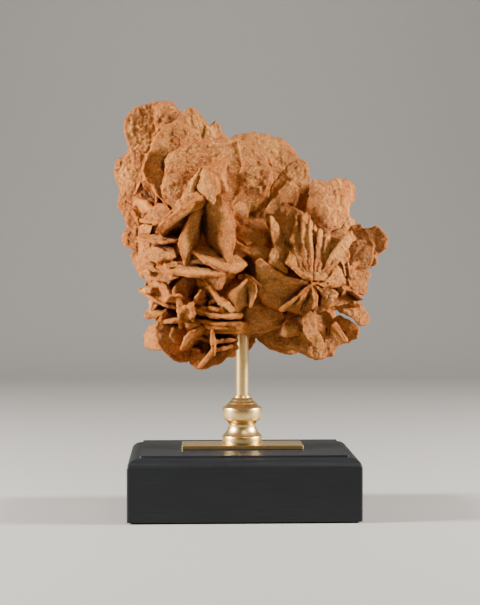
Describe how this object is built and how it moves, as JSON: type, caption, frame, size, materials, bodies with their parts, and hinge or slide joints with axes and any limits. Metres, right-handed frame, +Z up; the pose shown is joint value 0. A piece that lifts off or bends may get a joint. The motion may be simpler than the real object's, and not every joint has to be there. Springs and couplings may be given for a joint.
{
  "type": "mineral specimen on a stand",
  "caption": "Desert sand rose of intergrown gypsum blades on a slim brass stem, turned collar and plate over a low black wooden block",
  "frame": {"origin": "middle of the felt under the wooden base, on the table plane", "axes": "+Z up the brass stem; -Y is the front, the side with the steep rosette of blades and the long side of the base; +X to the right seen from the front"},
  "size_m": [0.1832, 0.1096, 0.2745],
  "materials": {
    "gypsum": "sandy matt faces with waxy orange rims",
    "brass": "polished, lathe turned",
    "ebonised_wood": "black stained, matt, fine grain",
    "steel": "plain zinc",
    "felt": "felt"
  },
  "bodies": {
    "root": {"wood_base": "ebonised_wood", "felt_sheet": "felt", "brass_plate": "brass", "turned_collar": "brass", "brass_rod": "brass", "washer": "steel", "hex_nut": "steel", "heart": "gypsum", "pyramid_right_blade": "gypsum", "pyramid_left_blade": "gypsum", "pyramid_inner_blade": "gypsum", "pyramid_floor_petals": "gypsum", "main_shelf": "gypsum", "stone_block_blade": "gypsum", "rosette_diagonal_blade": "gypsum", "fan_lower_left_blade": "gypsum", "fan_lower_pleats": "gypsum", "fan_upper_ridge": "gypsum", "fan_left_pleat": "gypsum", "fan_right_pleats": "gypsum", "fan_right_leaves": "gypsum", "spear_blade": "gypsum", "bowl_left_blade": "gypsum", "bowl_right_blades": "gypsum", "ridge_blade": "gypsum", "bowl_floor_disc": "gypsum", "stem_cover_blade": "gypsum", "lower_left_disc": "gypsum", "middle_left_disc": "gypsum", "bottom_rosette": "gypsum", "lower_middle_shelf": "gypsum", "bottom_shelves": "gypsum", "left_low_shelf": "gypsum", "left_second_shelf": "gypsum", "left_ridges": "gypsum", "left_upper_shelf": "gypsum", "left_top_shelf": "gypsum", "left_column": "gypsum", "crown_centre": "gypsum", "middle_blades": "gypsum", "crown_right": "gypsum", "crown_middle": "gypsum", "crown_left": "gypsum", "crown_right_back": "gypsum", "crown_far_left": "gypsum", "right_petals": "gypsum", "right_petal_middle": "gypsum", "right_petal_outer": "gypsum", "wing_front": "gypsum", "wing_back": "gypsum", "flank_left": "gypsum", "flank_right": "gypsum", "back_crown": "gypsum", "back_right_crown": "gypsum", "back_middle": "gypsum", "back_left": "gypsum", "back_right": "gypsum", "back_lower_left": "gypsum", "back_lower_right": "gypsum", "back_bottom": "gypsum"}
  },
  "joints": []
}
